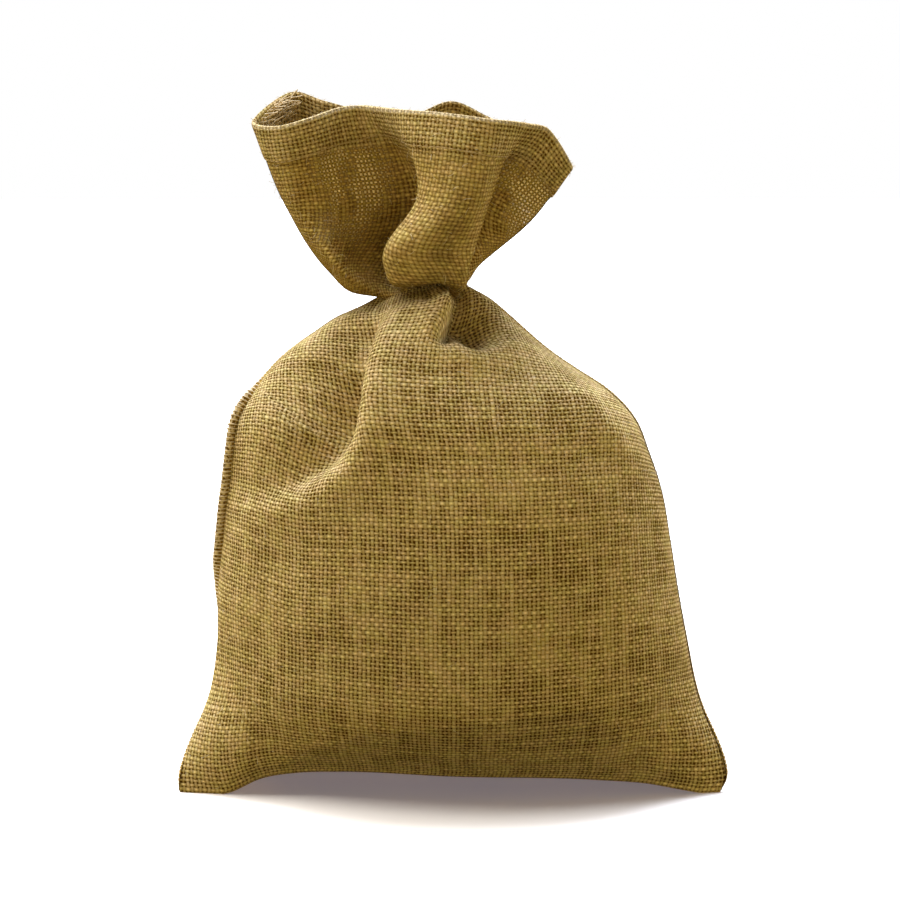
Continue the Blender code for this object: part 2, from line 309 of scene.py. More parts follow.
def fold_move(folds, across, height):
    """How far the folds bring these places out, and over to each side, in millimetres."""
    out = np.zeros_like(across)
    over = np.zeros_like(across)
    for path, minus_width, plus_width, push, slide, edge in folds:
        nearest = np.full_like(across, 1e9)
        side = np.zeros_like(across)
        strength = np.zeros_like(across)
        for start, end in zip(path, path[1:]):
            run = np.subtract(end, start).astype(float)
            dx = across - start[0]
            dz = height - start[1]
            share = np.clip((dx * run[0] + dz * run[1]) / (run[:2] @ run[:2]), 0, 1)
            distance = np.hypot(dx - share * run[0], dz - share * run[1])
            closer = distance < nearest
            nearest = np.where(closer, distance, nearest)
            swings = (run[0] * dz - run[1] * dx) / (np.hypot(*run[:2]) * np.maximum(distance, 1e-6))
            side = np.where(closer, swings, side)
            strength = np.where(closer, start[2] + share * run[2], strength)
        width = minus_width + (plus_width - minus_width) * smooth(0.5 + side / 2)
        shape = strength * np.exp(-((nearest / width) ** edge))
        out += push * shape
        over -= slide * shape
    return out, over


def arch_rise(across, back):
    shut = 1 - smooth((back - ARCH_ENDS[0]) / (ARCH_ENDS[1] - ARCH_ENDS[0]))
    places = column(ARCH, ARCH_COLUMNS, "across")
    rises = column(ARCH, ARCH_COLUMNS, "rise")
    return np.maximum(curve_through(places, rises, across), 0) * shut


def body_values(name, levels):
    return curve_through(np.arange(len(BODY_RINGS)), column(BODY_RINGS, BODY_COLUMNS, name), levels)


def seam_to_seam(levels):
    """How far round the sack each column of the front and then of the back lies, 0 being the front."""
    heights = body_values("height", levels)
    left, right = (
        curve_through(column(SEAMS, SEAM_COLUMNS, "height"), column(SEAMS, SEAM_COLUMNS, side), heights)
        for side in ("left", "right")
    )
    share = np.linspace(0, 1, SIDE_COLUMNS + 1)
    front_turns = left[:, None] + (right - left)[:, None] * share
    back_turns = right[:, None] + (left + 360.0 - right)[:, None] * share[1:-1]
    return np.concatenate([front_turns, back_turns], axis=1)


def body_rings(levels, turns):
    """Rings of the filled part, lowest first."""
    ring = {name: body_values(name, levels)[:, None] for name in BODY_COLUMNS}
    turn = np.radians(turns)
    middle = (ring["left"] + ring["right"]) / 2
    half = (ring["right"] - ring["left"]) / 2
    x = middle + half * np.sin(turn)
    facing = np.cos(turn)
    depth = np.where(facing > 0, ring["side"] - ring["front"], ring["back"] - ring["side"])
    bulge = depth * np.abs(facing) ** ring["pinch"] + EDGE_ROUND * np.sqrt(np.abs(facing))
    y = ring["side"] - np.sign(facing) * bulge
    neck_height = BODY_RINGS[-1][0]
    tilt = NECK_TILT * smooth((ring["height"] - TILTED_FROM) / (neck_height - TILTED_FROM))
    z = ring["height"] + tilt * (x - middle)
    z = z + arch_rise(x, y) * (1 - smooth(ring["height"] / ARCH_FADES_BY))
    return np.stack([x, y, z], axis=2) * MM


def outward(loops):
    """The outward normal at each point of closed rings that run anticlockwise from above."""
    round_it = np.roll(loops, -1, axis=1) - np.roll(loops, 1, axis=1)
    normal = np.cross(round_it, np.gradient(loops, axis=0))
    return normal / np.linalg.norm(normal, axis=2, keepdims=True)


def even_levels(step):
    """Places in the table of rings that lie this far apart up the side of the sack."""
    fine = np.linspace(0, len(BODY_RINGS) - 1, 2001)
    climb = np.hypot(np.diff(body_values("left", fine)), np.diff(body_values("height", fine)))
    run = np.concatenate([[0], climb.cumsum()])
    count = int(run[-1] * MM / step / LAID_FLAT_EVERY) * LAID_FLAT_EVERY
    return np.interp(np.linspace(0, run[-1], count + 1), run, fine)


def filled_part():
    """Every ring of the filled part with its ridges and troughs, front and back."""
    body = body_rings(body_levels, turns)
    normal = outward(body)
    across, height = body[:, :, 0] / MM, body[:, :, 2] / MM
    on_front = smooth((-normal[:, :, 1] - FOLDS_START) * FOLDS_SPREAD)
    on_back = smooth((normal[:, :, 1] - FOLDS_START) * FOLDS_SPREAD)
    for on_side, folds in ((on_front, FRONT_FOLDS), (on_back, BACK_FOLDS)):
        out, over = fold_move(folds, across, height)
        body = body + normal * (on_side * out)[:, :, None] * MM
        body[:, :, 0] += on_side * over * MM
    return body


def laid_flat(grid, along_row=None, along_column=None, rounds=40, stiff=0.25):
    """Where each point of this surface lies on the flat cloth, across and up, in metres.

    Threads keep their length and may lean towards each other, as woven cloth does. "stiff" is
    how far the cloth resists that. along_row holds rows of the grid on a straight weft, and
    along_column holds columns on a straight warp, each as {place: (position, weight)}.
    """
    rows, columns = grid.shape[:2]
    points = grid.reshape(-1, 3)
    index = np.arange(rows * columns).reshape(rows, columns)
    a, b, c, d = index[:-1, :-1], index[:-1, 1:], index[1:, 1:], index[1:, :-1]
    corners = ((a, b, c), (a, c, d), (a, b, d), (b, c, d))
    tris = np.concatenate([np.stack([k.ravel() for k in three], 1) for three in corners])
    one = points[tris[:, 1]] - points[tris[:, 0]]
    two = points[tris[:, 2]] - points[tris[:, 0]]
    length = np.linalg.norm(one, axis=1)
    x2 = (one * two).sum(1) / length
    y2 = np.linalg.norm(np.cross(one, two), axis=1) / length
    area = length * y2 / 2
    slopes = np.empty((len(tris), 3, 2))
    slopes[:, 1, 0], slopes[:, 1, 1] = 1 / length, -x2 / (length * y2)
    slopes[:, 2, 0], slopes[:, 2, 1] = 0, 1 / y2
    slopes[:, 0] = -slopes[:, 1] - slopes[:, 2]
    count = len(points)
    stiffness = np.zeros((count, count))
    for i in range(3):
        for j in range(3):
            term = area * (slopes[:, i] * slopes[:, j]).sum(1)
            np.add.at(stiffness, (tris[:, i], tris[:, j]), term)
    pull = np.zeros((2, count))
    aim = np.zeros((2, count))
    pull[:, index[rows // 2, columns // 2]] = 1e-3
    for row, (place, weight) in (along_row or {}).items():
        pull[1, index[row]], aim[1, index[row]] = weight, place
    for col, (place, weight) in (along_column or {}).items():
        pull[0, index[:, col]], aim[0, index[:, col]] = weight, place
    solve = [np.linalg.inv(stiffness + np.diag(p)) for p in pull]

    step_across = np.linalg.norm(np.diff(grid, axis=1), axis=2).mean(0)
    step_up = np.linalg.norm(np.diff(grid, axis=0), axis=2).mean(1)
    across = np.concatenate([[0], step_across.cumsum()]) - step_across.sum() / 2
    up = np.concatenate([[0], step_up.cumsum()])
    flat = np.stack([np.tile(across, rows), np.repeat(up, columns)])
    for _ in range(rounds):
        lean = np.einsum("kti,tij->tkj", flat[:, tris], slopes)
        threads = np.linalg.inv(lean)
        threads /= np.linalg.norm(threads, axis=1, keepdims=True)
        square = threads.copy()
        bisector = threads[:, :, 0] + threads[:, :, 1]
        bisector /= np.linalg.norm(bisector, axis=1, keepdims=True)
        square[:, :, 0] = np.stack([bisector[:, 0] + bisector[:, 1], bisector[:, 1] - bisector[:, 0]], 1)
        square[:, :, 1] = np.stack([bisector[:, 0] - bisector[:, 1], bisector[:, 0] + bisector[:, 1]], 1)
        square /= np.sqrt(2)
        threads = (1 - stiff) * threads + stiff * square
        threads /= np.linalg.norm(threads, axis=1, keepdims=True)
        wanted = np.linalg.inv(threads)
        for k in range(2):
            load = pull[k] * aim[k]
            for i in range(3):
                term = area * (slopes[:, i] * wanted[:, k]).sum(1)
                load = load + np.bincount(tris[:, i], term, count)
            flat[k] = solve[k] @ load
    return flat.reshape(2, rows, columns).transpose(1, 2, 0)


def threads_of(grid, **held):
    """The place on the flat cloth of every point of a fine grid, counted in threads."""
    every = LAID_FLAT_EVERY
    flat = laid_flat(grid[::every, ::every], **held)
    rows, columns = grid.shape[:2]
    flat = curve_through(np.arange(0, rows, every), flat, np.arange(rows))
    flat = curve_through(np.arange(0, columns, every), flat.transpose(1, 0, 2), np.arange(columns))
    return flat.transpose(1, 0, 2) / THREAD_PITCH


def cloth_piece(name, grid, threads, material):
    """A sheet of faces from a grid of points, with its threads as a UV map."""
    rows, columns = grid.shape[:2]
    index = np.arange(rows * columns).reshape(rows, columns)
    faces = np.stack([index[:-1, :-1], index[:-1, 1:], index[1:, 1:], index[1:, :-1]], 2).reshape(-1, 4)
    mesh = bpy.data.meshes.new(name)
    mesh.from_pydata((grid.reshape(-1, 3) - SACK_MIDDLE).tolist(), [], faces.tolist())
    mesh.polygons.foreach_set("use_smooth", np.ones(len(faces), bool))
    layer = mesh.uv_layers.new(name="threads")
    layer.data.foreach_set("uv", threads.reshape(-1, 2)[faces.ravel()].ravel())
    mesh.materials.append(material)
    mesh.update()
    piece = bpy.data.objects.new(name, mesh)
    bpy.context.scene.collection.objects.link(piece)
    return piece


YARN_LIGHT = (0.64, 0.48, 0.215)
YARN_DARK = (0.27, 0.155, 0.024)
# painted shade: the shaded filling seen through the gaps of the filled cloth
FILLED_GAP_SHADE = (0.062, 0.025, 0.0)
YARN_SIDES = (1.0, 0.88, 0.58)  # the tone of the light that comes back from between the yarns
YARN_HALF_WIDTH = 0.335  # of the pitch
YARN_SWELLS = 0.62
YARN_WANDERS = 0.44
YARN_NARROWEST = 0.22
YARN_WIDEST = 0.47
CLOSER_IN_PLACES = 0.30
CRIMP = 0.32
BUMP_DEPTH = 0.9 * MM
FUZZ_FROM = 0.40  # loose fibres lie across some of the gaps
FUZZ_GROWS = 5.0
# painted colours for the gaps of the single cloth: dark with shade in the hem and about the thin patches,
# shaded where the cloth is slack, and bright with light shining through the thin patches
DEEP_GAP_SHADE = (0.13, 0.062, 0.006)
SLACK_GAP_SHADE = (0.19, 0.115, 0.03)
GAP_LIT_THROUGH = (1.0, 0.74, 0.32)
TAUT = ((-31.0, 13.0), (38.0, 12.0))  # where the ruff is drawn open: (middle, reach) in threads across; wider round each, the light shining through is painted in
TAUT_ROWS = (-38.0, -18.0)  # and how far below the rim, in threads, it fades in
HEM_ENDS = (-8.4, -9.4)
TAUT_OPENS = 0.35
SLACK_CLOSES = 0.24
LIGHT_THROUGH_TONE = (0.83, 0.76, 0.55)  # painted: the warm tone of the light that shines through one thickness
# painted shade: the tone of the single cloth below the hem where no light shines through it
SHADED = (0.86, 0.82, 0.68)
# paler along the rim: partly the denser fibres of the rolled edge, partly a painted highlight of the light
# from above
RIM_PALE_AND_HIGHLIGHT = (0.66, 0.52, 0.28)
REDDER = (1.01, 0.985, 0.99)
GREENER = (0.96, 1.01, 0.86)


def cloth_paint(name):
    """A matt material on the thread map, and the tools that build its nodes."""
    material = bpy.data.materials.new(name)
    material.use_nodes = True
    tree = material.node_tree
    shader = tree.nodes["Principled BSDF"]
    shader.inputs["Specular IOR Level"].default_value = 0.0

    def put(socket, value):
        if isinstance(value, bpy.types.NodeSocket):
            tree.links.new(value, socket)
        elif value is not None:
            socket.default_value = value

    def m(operation, a, b=None, c=None):
        node = tree.nodes.new("ShaderNodeMath")
        node.operation = operation
        for socket, value in zip(node.inputs, (a, b, c)):
            put(socket, value)
        return node.outputs[0]

    def noise(x, y, detail=2.0, seed=0.0):
        place = tree.nodes.new("ShaderNodeCombineXYZ")
        for socket, value in zip(place.inputs, (x, y, seed)):
            put(socket, value)
        node = tree.nodes.new("ShaderNodeTexNoise")
        put(node.inputs["Vector"], place.outputs[0])
        node.inputs["Scale"].default_value = 1.0
        node.inputs["Detail"].default_value = detail
        return node.outputs[0]

    def chance(value, seed):
        node = tree.nodes.new("ShaderNodeTexWhiteNoise")
        node.noise_dimensions = "1D"
        put(node.inputs["W"], m("ADD", value, seed))
        return node.outputs[0]

    def blend(share, a, b):
        node = tree.nodes.new("ShaderNodeMix")
        node.data_type = "RGBA"
        put(node.inputs["Factor"], share)
        put(node.inputs["A"], a if isinstance(a, bpy.types.NodeSocket) else (*a, 1))
        put(node.inputs["B"], b if isinstance(b, bpy.types.NodeSocket) else (*b, 1))
        return node.outputs["Result"]

    def shade(colour, by):
        node = tree.nodes.new("ShaderNodeVectorMath")
        node.operation = "SCALE"
        put(node.inputs[0], colour)
        put(node.inputs["Scale"], by)
        return node.outputs[0]

    # multiplies a colour: by a real tint of the jute, or by a painted tone of light or shade
    def tint_or_light_tone(colour, by):
        node = tree.nodes.new("ShaderNodeVectorMath")
        node.operation = "MULTIPLY"
        put(node.inputs[0], colour)
        put(node.inputs[1], by)
        return node.outputs[0]

    def step(value, start, end):
        """0 at start, 1 at end and a soft step between."""
        node = tree.nodes.new("ShaderNodeMapRange")
        node.interpolation_type = "SMOOTHSTEP"
        put(node.inputs["Value"], value)
        node.inputs["From Min"].default_value = start
        node.inputs["From Max"].default_value = end
        return node.outputs[0]

    def bumps(height, depth):
        node = tree.nodes.new("ShaderNodeBump")
        node.inputs["Distance"].default_value = depth
        put(node.inputs["Height"], height)
        put(shader.inputs["Normal"], node.outputs[0])

    uv = tree.nodes.new("ShaderNodeUVMap")
    uv.uv_map = "threads"
    split = tree.nodes.new("ShaderNodeSeparateXYZ")
    put(split.inputs[0], uv.outputs[0])
    tools = (put, m, noise, chance, blend, shade, tint_or_light_tone, step, bumps)
    return material, shader, split.outputs[0], split.outputs[1], tools


def hessian_cloth(name, single):
    """Plain-woven jute, with painted shade and highlights on its yarns. Where it is a single thickness its
    gaps are open and partly painted with light shining through, and otherwise its gaps are painted dark
    with shade.
    """
    material, shader, across, up, tools = cloth_paint(name)
    put, m, noise, chance, blend, shade, tint_or_light_tone, step, bumps = tools

    def yarn(crosswise, lengthwise, seed):
        """(cover, roundness, height, tint) of the set of yarns that lie side by side crosswise."""
        number = m("FLOOR", crosswise)
        own = m("MULTIPLY_ADD", number, 3.717, seed)
        slow = noise(own, m("MULTIPLY", lengthwise, 0.11), 2.0, seed)
        quick = noise(own, m("MULTIPLY", lengthwise, 0.55), 2.0, seed + 9)
        wander = m("MULTIPLY", m("SUBTRACT", quick, 0.5), YARN_WANDERS)
        half = m("MULTIPLY_ADD", m("SUBTRACT", slow, 0.5), YARN_SWELLS, YARN_HALF_WIDTH)
        half = m("MULTIPLY_ADD", m("SUBTRACT", chance(number, seed), 0.5), YARN_SWELLS * 0.2, half)
        half = m("MULTIPLY_ADD", m("SUBTRACT", closeness, 0.5), CLOSER_IN_PLACES, half)
        half = m("MINIMUM", m("MAXIMUM", half, YARN_NARROWEST), YARN_WIDEST)
        offset = m("ABSOLUTE", m("SUBTRACT", m("SUBTRACT", m("FRACT", crosswise), 0.5), wander))
        cover = step(m("SUBTRACT", half, offset), -0.035, 0.035)
        across_it = m("MINIMUM", m("DIVIDE", offset, half), 1.0)
        roundness = m("SQRT", m("SUBTRACT", 1.0, m("MULTIPLY", across_it, across_it)))
        parity = m("COSINE", m("MULTIPLY", number, np.pi))
        rises = m("MULTIPLY", m("SINE", m("MULTIPLY", lengthwise, np.pi)), parity)
        tint = m("MULTIPLY_ADD", slow, 0.9, m("MULTIPLY_ADD", chance(number, seed + 40), 0.12, -0.2))
        tint = m("MULTIPLY_ADD", quick, 0.4, tint)
        return cover, roundness, rises, tint

    closeness = noise(m("MULTIPLY", across, 0.06), m("MULTIPLY", up, 0.06), 3.0, 21.0)
    if single:
        # below the hem the light that shines through is painted in: the yarns golden and the gaps bright
        plain = step(up, *HEM_ENDS)
        places = lit_through = 0.0
        for middle, reaches in TAUT:
            away = m("ABSOLUTE", m("SUBTRACT", across, middle))
            places = m("MAXIMUM", places, step(away, reaches, reaches * 0.3))
            lit_through = m("MAXIMUM", lit_through, step(away, reaches * 1.7, reaches * 0.9))
        uneven = step(noise(m("MULTIPLY", across, 0.16), m("MULTIPLY", up, 0.10), 2.0, 14.0), 0.36, 0.58)
        thin = m("MULTIPLY", m("MULTIPLY", places, uneven), m("MULTIPLY", plain, step(up, *TAUT_ROWS)))
        closeness = m("MULTIPLY_ADD", thin, -TAUT_OPENS, closeness)
        slack = m("MULTIPLY", plain, m("SUBTRACT", 1.0, lit_through))
        closeness = m("MULTIPLY_ADD", slack, SLACK_CLOSES, closeness)
    warp_cover, warp_round, warp_rise, warp_tint = yarn(across, up, 11.3)
    weft_cover, weft_round, weft_rise, weft_tint = yarn(up, across, 57.9)
    weft_rise = m("MULTIPLY", weft_rise, -1.0)

    def height_of(cover, roundness, rise):
        lies = m("MULTIPLY_ADD", rise, CRIMP, m("MULTIPLY", roundness, 0.35))
        return m("MULTIPLY", cover, m("ADD", lies, 1.0))

    warp_height = height_of(warp_cover, warp_round, warp_rise)
    weft_height = height_of(weft_cover, weft_round, weft_rise)
    height = m("MAXIMUM", warp_height, weft_height)
    weft_on_top = m("GREATER_THAN", weft_height, warp_height)
    cover = m("MAXIMUM", warp_cover, weft_cover)

    # painted shading of each yarn: darker where it dives under the other yarns and towards its sides, with
    # a painted highlight along the crown of each float; the last argument sets how strong that highlight is
    def painted_yarn_shading(rise, roundness, highlight_strength):
        dive_shade = m("MULTIPLY_ADD", rise, 0.22, 0.79)
        plain = m("MULTIPLY", dive_shade, m("MULTIPLY_ADD", roundness, 0.40, 0.61))
        painted_crown_highlight = m("MULTIPLY", m("MAXIMUM", rise, 0.0), m("POWER", roundness, 6.0))
        return m("MULTIPLY_ADD", painted_crown_highlight, highlight_strength, plain)

    # the yarn's own tone, warmed at its sides by the painted tone of light coming back from between the
    # yarns, then given its painted shading
    def yarn_colour(tint, rise, roundness, highlight_strength):
        plain = blend(tint, YARN_DARK, YARN_LIGHT)
        rounded = blend(m("POWER", roundness, 2.0), tint_or_light_tone(plain, YARN_SIDES), plain)
        return shade(rounded, painted_yarn_shading(rise, roundness, highlight_strength))

    # the weft floats carry a far stronger painted highlight than the warps
    warp_colour = yarn_colour(warp_tint, warp_rise, warp_round, 0.05)
    weft_colour = yarn_colour(weft_tint, weft_rise, weft_round, 0.50)
    colour = blend(weft_on_top, warp_colour, weft_colour)
    patch = noise(m("MULTIPLY", across, 0.05), m("MULTIPLY", up, 0.02), 3.0, 3.0)
    fibres = noise(m("MULTIPLY", across, 3.1), m("MULTIPLY", up, 3.1), 3.0, 5.0)
    fuzz = noise(m("MULTIPLY", across, 1.3), m("MULTIPLY", up, 1.3), 2.0, 31.0)
    fuzz = m("MULTIPLY", m("SUBTRACT", fuzz, FUZZ_FROM), FUZZ_GROWS)
    fuzz = m("MINIMUM", m("MAXIMUM", fuzz, 0.0), 1.0)
    colour = blend(m("MULTIPLY", patch, 0.35), colour, shade(colour, 0.8))
    colour = shade(colour, m("MULTIPLY_ADD", fibres, 0.5, 0.75))
    tone = step(noise(m("MULTIPLY", across, 0.3), m("MULTIPLY", up, 0.3), 3.0, 8.0), 0.35, 0.65)
    colour = blend(tone, tint_or_light_tone(colour, REDDER), tint_or_light_tone(colour, GREENER))
    if single:
        # below the hem, the painted tone of light shining through, or of shade where none does
        colour = blend(plain, colour, blend(lit_through, tint_or_light_tone(colour, SHADED), tint_or_light_tone(colour, LIGHT_THROUGH_TONE)))
        # the gaps are painted: shade, or light shining through where the cloth is thin
        gap = blend(thin, blend(slack, DEEP_GAP_SHADE, SLACK_GAP_SHADE), GAP_LIT_THROUGH)
        colour = blend(cover, gap, colour)
        # paler at the rim: partly its denser fibres, partly painted highlight
        colour = blend(step(m("ABSOLUTE", up), 0.9, 0.2), colour, blend(0.35, colour, RIM_PALE_AND_HIGHLIGHT))
    else:
        # the gaps are painted with the shade of the filling behind them, part covered by loose fibres
        colour = blend(m("MAXIMUM", cover, m("MULTIPLY", fuzz, 0.28)), FILLED_GAP_SHADE, colour)
    put(shader.inputs["Base Color"], colour)
    shader.inputs["Roughness"].default_value = 0.82
    bumps(m("ADD", height, m("MULTIPLY", fibres, 0.15)), BUMP_DEPTH)
    if single:
        shut = m("MAXIMUM", m("SUBTRACT", 1.0, thin), m("MULTIPLY_ADD", fuzz, 0.3, 0.7))
        put(shader.inputs["Alpha"], m("MAXIMUM", cover, shut))
    return material


SEAM_HOLDS = 4.0  # threads by which the taut left seam holds up the wefts next to it
SEAM_REACHES = 45.0

body_levels = even_levels(ROW_STEP)
turns = seam_to_seam(body_levels)
filled = filled_part()
filled_cloth = hessian_cloth("hessian_filled", single=False)
front_grid = filled[:, : SIDE_COLUMNS + 1]
at_fold = {0: (0.0, 1e3)}  # the weft that lies in the fold across the bottom
front_threads = threads_of(front_grid, along_row=at_fold)
from_seam = (front_grid[:, :, 0] - front_grid[:, :1, 0]) / MM
seam_height = front_grid[:, :, 2] / MM
hangs = smooth((seam_height - 30) / 70) * (1 - smooth((seam_height - 185) / 45))
front_threads[:, :, 1] -= SEAM_HOLDS * hangs * (1 - smooth(from_seam / SEAM_REACHES))
front = cloth_piece("front_cloth", front_grid, front_threads, filled_cloth)
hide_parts("sack")
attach(front, "root")


# The cloth of the back and of the base: the same length, turned under at the bottom fold and
# carried up to the neck behind.
BASE_SHARES = (0.96, 0.8, 0.64, 0.48, 0.32, 0.16, 0.0)


def underside(edge, shares):
    """Rows of the base, from this edge towards the line where front and back meet."""
    x, y, z = edge.T / MM
    line = curve_through(*np.transpose(BASE_LINE), x)
    rows = []
    for share in shares:
        drawn = x * (1 - BASE_DRAWN_IN * (1 - share))
        lies = line + (y - line) * share
        rows.append(np.stack([drawn, lies, arch_rise(drawn, lies)], axis=1) * MM)
    return np.array(rows)


back_grid = np.concatenate([filled[:, SIDE_COLUMNS:], filled[:, :1]], axis=1)
under_front = underside(front_grid[0], BASE_SHARES)[:, ::-1]
under_back = underside(back_grid[0], BASE_SHARES)[::-1]
back_grid = np.concatenate([front_grid[:1, ::-1], under_front, under_back[1:], back_grid])
back = cloth_piece("back_cloth", back_grid, threads_of(back_grid, along_row=at_fold), filled_cloth)
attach(back, "root")


# The ruff: the same cloth above the neck, where it is a single thickness. It opens into flutes
# up to a rim that is turned in and sewn down as a hem.
RUFF_COLUMNS = ("turn", "rim_x", "rim_y", "rim_z", "mid_x", "mid_y", "low_x", "low_y")
RUFF = (
    (-90, -99, -2, 333, -83, 0, -61.5, 0),
    (-74, -87, -15, 330, -77, -13, -56.5, -14),
    (-56, -71, -15, 334, -66, -11, -52, -20),
    (-38, -56, -4, 339.5, -49, 0, -43, -1),
    (-22, -45, 0, 340.5, -18, 8, -30, 9),
    (-12, -37, -7, 339.5, -14, -10, -33, -9),
    (-2, -26, -22, 338, -18, -27, -34, -29),
    (12, -5, -35, 336, -3, -42, -19, -38),
    (26, 17, -37, 333, 12, -39, -2, -34),
    (38, 30, -27, 332, 17, -23, 7, -25),
    (50, 37, -20, 331, 9, -9, 4, -13),
    (64, 45, -12, 329.5, 22, -9, 8, -7),
    (90, 58, -2, 311, 36.5, 2, 11, 4),
    (112, 52, 15, 318, 34.5, 17, 9, 14),
    (132, 34, 26, 327.5, 18, 24, -1, 21),
    (152, 16, 33, 336.5, 3, 28, -12, 25),
    (172, -1, 27, 343.5, -11, 26, -23, 25),
    (198, -27, 12, 335, -32, 20, -38, 22),
    (224, -63, 18, 343, -56, 23, -52, 20),
    (244, -81, 24, 348, -75, 20, -61, 13),
    (258, -91, 10, 342, -81, 10, -61, 6),
)
LOW_RISE = 0.14
MID_RISE = 0.52
LOW_LEVEL = 0.20
MID_LEVEL = 0.56
RUFF_ROWS = 144
NECK_TURNS = turns[-1]

# The pleat in front bulges out over the neck before it rises, and so does the left wing: how far
# round the sack each bulge lies and reaches, in degrees, and its shares of the way out and up
# to the "low" places.
TUCK_LEVEL = 0.10
TUCKS = ((15.0, 75.0, 0.78, 0.06), (-90.0, 50.0, 0.60, 0.26))

# The hem in section: the cloth runs up the outside, over the rim and down the inside, and is
# sewn through at a groove. "out" is counted from the single cloth. Both in millimetres.
HEM_COLUMNS = ("below_rim", "out")
HEM = (
    (18.8, 0.0),
    (18.1, 0.1),
    (17.5, 0.9),
    (16.9, 0.25),
    (16.3, 0.9),
    (14.5, 1.0),
    (11.5, 1.0),
    (8.0, 1.0),
    (5.0, 1.0),
    (2.5, 1.0),
    (1.0, 1.0),
    (0.2, 0.85),
    (-0.5, 0.4),
    (-0.8, -0.3),
    (-0.6, -1.0),
    (0.0, -1.45),
    (1.0, -1.55),
    (3.0, -1.5),
    (6.0, -1.5),
    (9.0, -1.5),
    (12.0, -1.5),
    (15.0, -1.5),
    (17.3, -1.4),
    (18.2, -0.9),
    (18.3, -0.4),
)
HEM_SEWN_ROW = 3
HEM_RIM_ROW = 11
PLAIN_ROWS = 44


def loop_through(values):
    """The same smooth curve, for a column of the ruff's table, which goes round the sack once."""
    places = column(RUFF, RUFF_COLUMNS, "turn")
    places = np.concatenate([places[-3:] - 360.0, places, places[:3] + 360.0])
    values = np.concatenate([values[-3:], values, values[:3]])
    return curve_through(places, values, (NECK_TURNS + 105.0) % 360.0 - 105.0)


def unit(vectors):
    return vectors / np.linalg.norm(vectors, axis=-1, keepdims=True)


def with_hem(cloth, normal, threads):
    """A single cloth in even rows up to its hem, and then the hem, which is turned to the inside."""
    step = np.linalg.norm(np.diff(cloth, axis=0), axis=2)
    below = np.concatenate([step[::-1].cumsum(axis=0)[::-1], np.zeros((1, step.shape[1]))])
    hem_below = column(HEM, HEM_COLUMNS, "below_rim") * MM
    hem_out = column(HEM, HEM_COLUMNS, "out") * MM
    plain = np.linspace(1, 0, PLAIN_ROWS + 1)[:-1, None] * (below[0] - hem_below[0]) + hem_below[0]
    hem = np.repeat(np.maximum(hem_below, 0)[:, None], step.shape[1], axis=1)
    wanted = np.concatenate([plain, hem])
    known = np.concatenate([cloth, normal, threads], axis=2)
    laid = np.empty((*wanted.shape, known.shape[2]))
    for j in range(wanted.shape[1]):
        for k in range(known.shape[2]):
            laid[:, j, k] = np.interp(wanted[:, j], below[::-1, j], known[::-1, j, k])
    points, facing, threads = laid[:, :, :3], laid[:, :, 3:6], laid[:, :, 6:]
    points[PLAIN_ROWS:] += facing[PLAIN_ROWS:] * hem_out[:, None, None]
    points[PLAIN_ROWS:] += unit(cloth[-1] - cloth[-2]) * np.maximum(-hem_below, 0)[:, None, None]
    run = np.hypot(np.diff(hem_below), np.diff(hem_out))[HEM_RIM_ROW:].cumsum()
    rim_threads = threads[PLAIN_ROWS + HEM_RIM_ROW, :, 1]
    threads[PLAIN_ROWS + HEM_RIM_ROW + 1 :, :, 1] = rim_threads + run[:, None] / THREAD_PITCH
    return points, threads


def seam_sides(rings):
    """The columns of the front, and those of the back, each with both seams."""
    return rings[:, : SIDE_COLUMNS + 1], np.concatenate([rings[:, SIDE_COLUMNS:], rings[:, :1]], axis=1)


neck = filled[-1]
lie = {name: loop_through(column(RUFF, RUFF_COLUMNS, name)) * MM for name in RUFF_COLUMNS[1:]}
climb = lie["rim_z"] - neck[:, 2]
low = np.stack([lie["low_x"], lie["low_y"], neck[:, 2] + LOW_RISE * climb], axis=1)
mid = np.stack([lie["mid_x"], lie["mid_y"], neck[:, 2] + MID_RISE * climb], axis=1)
rim = np.stack([lie["rim_x"], lie["rim_y"], lie["rim_z"]], axis=1)
plainly = TUCK_LEVEL / LOW_LEVEL
goes_out = goes_up = np.full(len(neck), plainly)
for middle, reaches, tuck_out, tuck_up in TUCKS:
    tucked = smooth(1 - np.abs((NECK_TURNS - middle + 180.0) % 360.0 - 180.0) / reaches)
    goes_out = goes_out + (tuck_out - plainly) * tucked
    goes_up = goes_up + (tuck_up - plainly) * tucked
tuck = neck + (low - neck) * np.stack([goes_out, goes_out, goes_up], axis=1)
knots = (0, TUCK_LEVEL, LOW_LEVEL, MID_LEVEL, 1)
ruff = curve_through(knots, np.array([neck, tuck, low, mid, rim]), np.linspace(0, 1, RUFF_ROWS + 1))
rim_row = RUFF_ROWS // LAID_FLAT_EVERY

open_cloth = hessian_cloth("hessian_open", single=True)
hem_rows = {}
for name, cloth, normal, flat, below in zip(
    ("ruff_front", "ruff_back"),
    seam_sides(ruff),
    seam_sides(outward(ruff)),
    ((0.22, 0.11), (0.20, 0.11)),
    ("front_cloth", "back_cloth"),
):
    threads = threads_of(cloth, along_row={rim_row: (0.0, 1e3)})
    grid, threads = with_hem(cloth, normal, threads)
    hem_rows[name] = grid[PLAIN_ROWS + HEM_SEWN_ROW - 1 : PLAIN_ROWS + HEM_SEWN_ROW + 2]
    piece = cloth_piece(name, grid, threads, open_cloth)
    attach(piece, "root")


